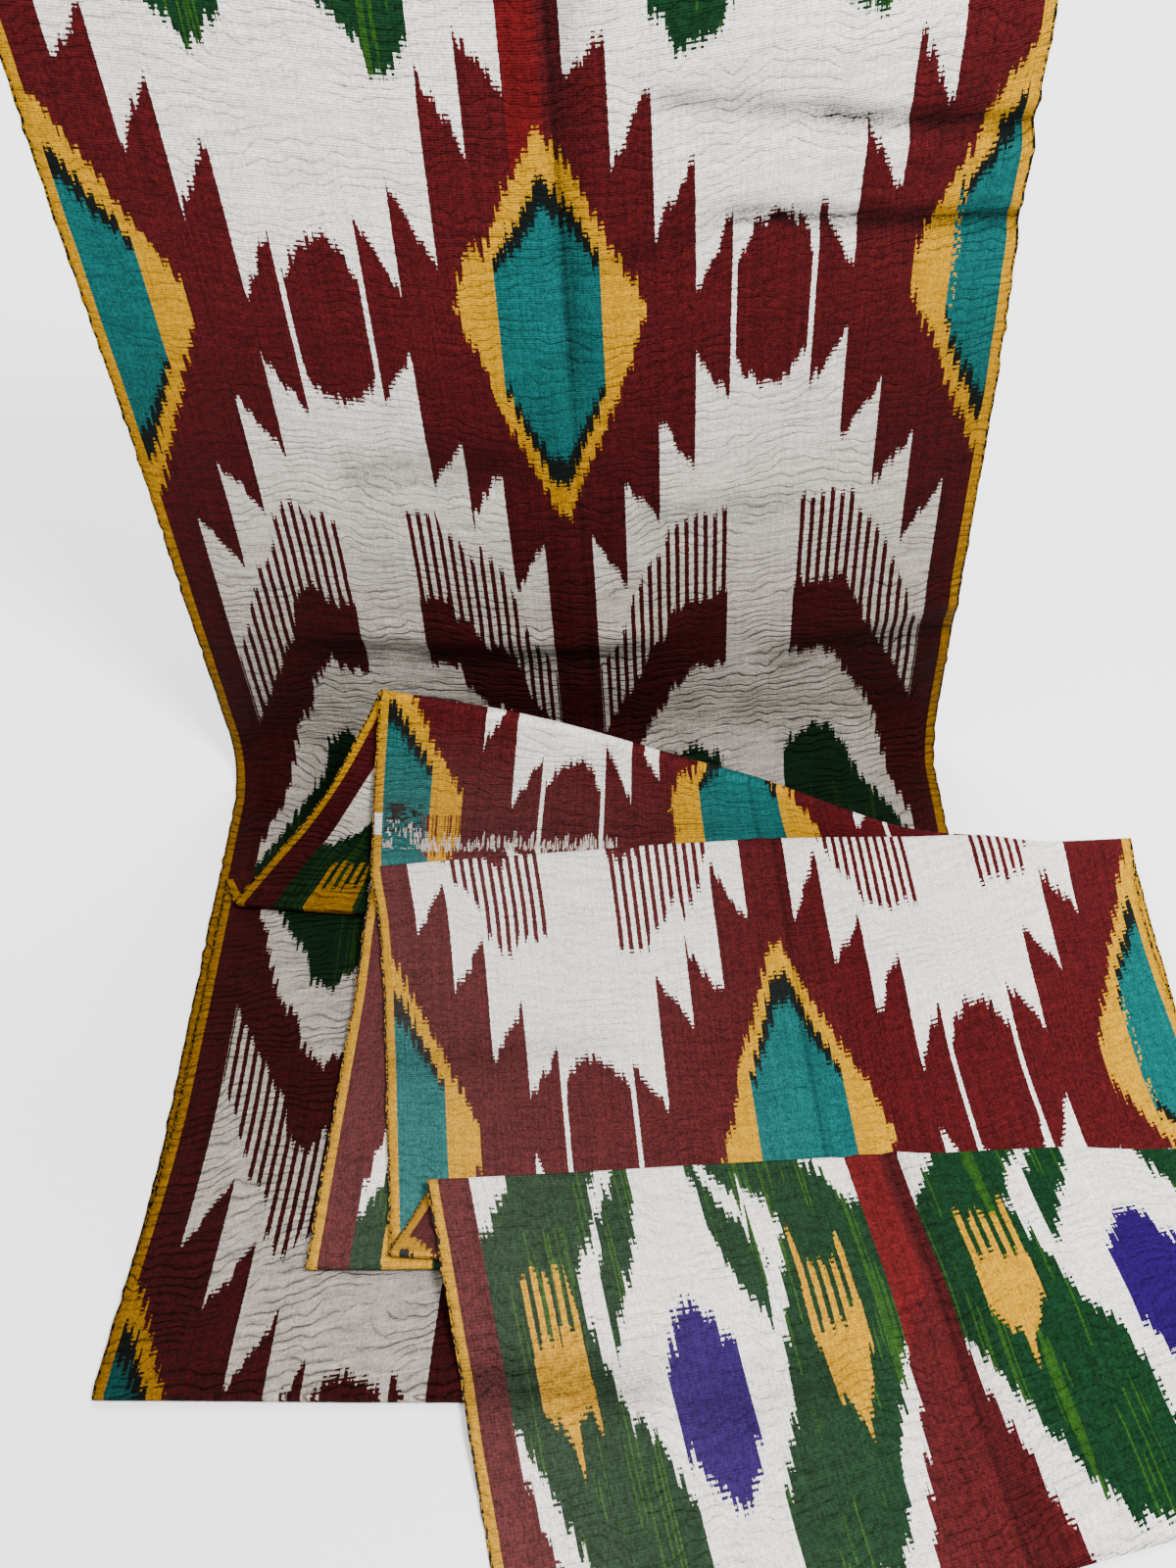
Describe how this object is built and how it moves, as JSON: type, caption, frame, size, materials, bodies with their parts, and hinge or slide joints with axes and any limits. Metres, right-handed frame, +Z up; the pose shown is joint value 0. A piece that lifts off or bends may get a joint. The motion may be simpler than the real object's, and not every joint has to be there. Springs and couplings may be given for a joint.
{
  "type": "ikat woven cloth",
  "caption": "Long narrow woven cloth that hangs from its top edge, meets the floor and is folded back and forth on itself, with a standing ridge and a last fold lying askew.",
  "frame": {"origin": "centre of the bounding box's footprint, on the floor that the cloth rests on", "axes": "+X across the cloth to the viewer's right, +Y away from the viewer towards the hanging length, +Z up to the top edge"},
  "size_m": [0.5936, 0.5016, 0.5006],
  "materials": {
    "ikat_weave": "matte hand-woven silk and cotton with a faint crosswise rib"
  },
  "bodies": {
    "root": {"ikat_cloth": "ikat_weave"}
  },
  "joints": []
}
